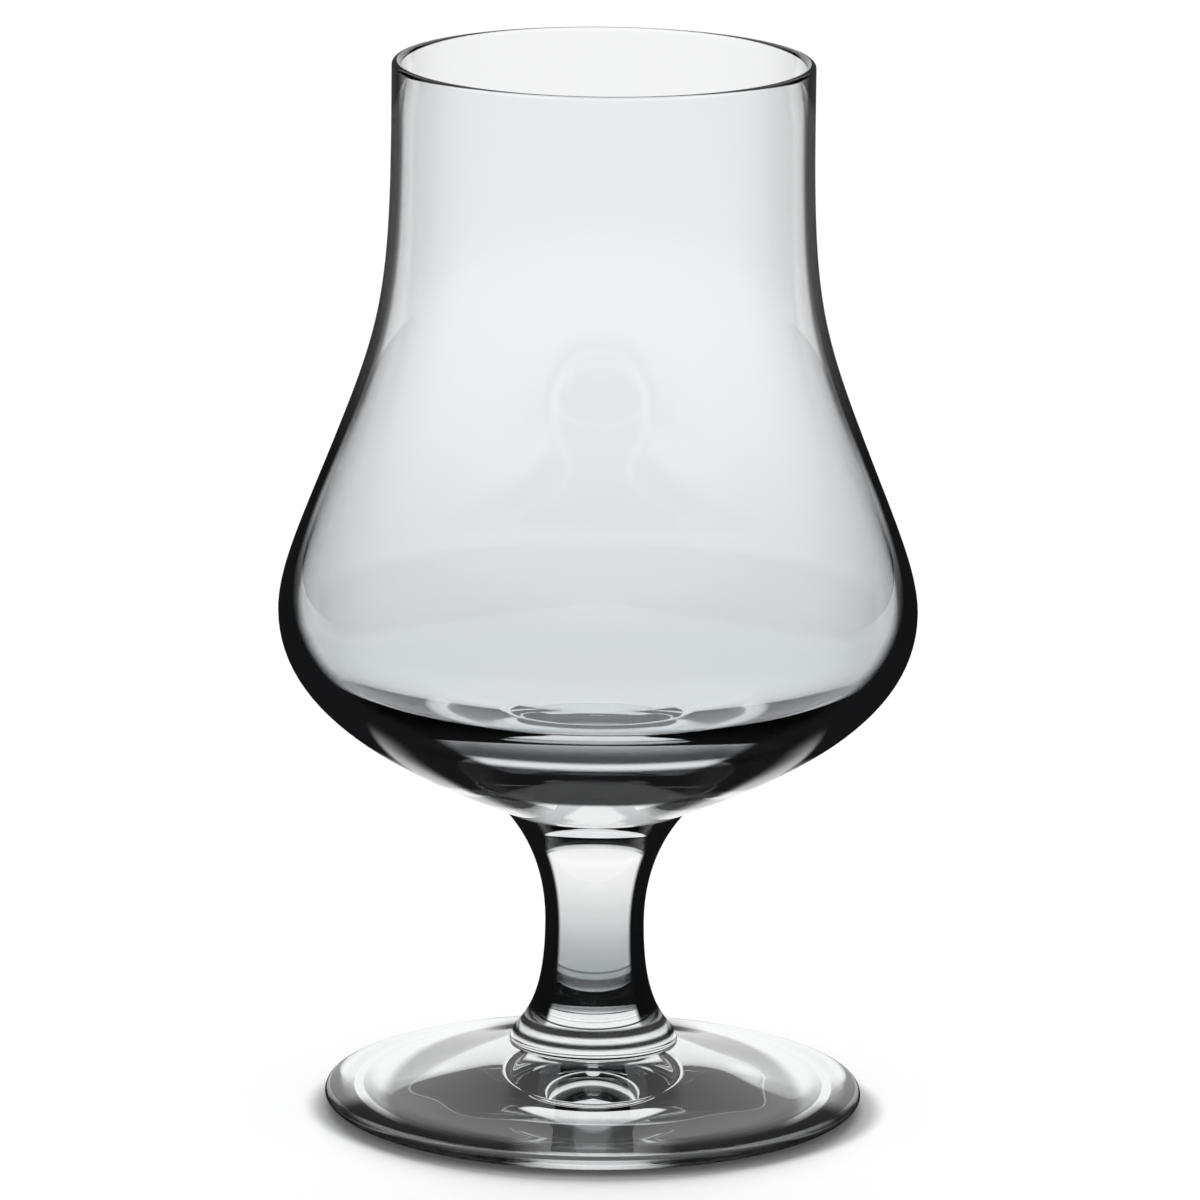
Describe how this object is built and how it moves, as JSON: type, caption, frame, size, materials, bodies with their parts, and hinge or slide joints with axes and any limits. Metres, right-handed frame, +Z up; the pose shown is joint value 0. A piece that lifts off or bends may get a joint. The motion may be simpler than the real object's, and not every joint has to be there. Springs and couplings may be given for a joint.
{
  "type": "tulip glass",
  "caption": "Clear stemmed tulip glass: a bulbous bowl drawn in to an upright neck, on a short waisted stem and a round foot, for serving beer or other drinks.",
  "frame": {"origin": "centre of the ring that the foot stands on", "axes": "+Z up along the axis of the glass, from the foot to the mouth; the glass is round, so +X and +Y are any two level directions"},
  "size_m": [0.078, 0.078, 0.13],
  "materials": {
    "bowl_glass": "clear blown glass, fire-polished lip",
    "stem_glass": "clear pressed glass, fire-polished",
    "foot_glass": "clear pressed glass, fire-polished"
  },
  "bodies": {
    "root": {"bowl": "bowl_glass", "stem": "stem_glass", "foot": "foot_glass"}
  },
  "joints": []
}
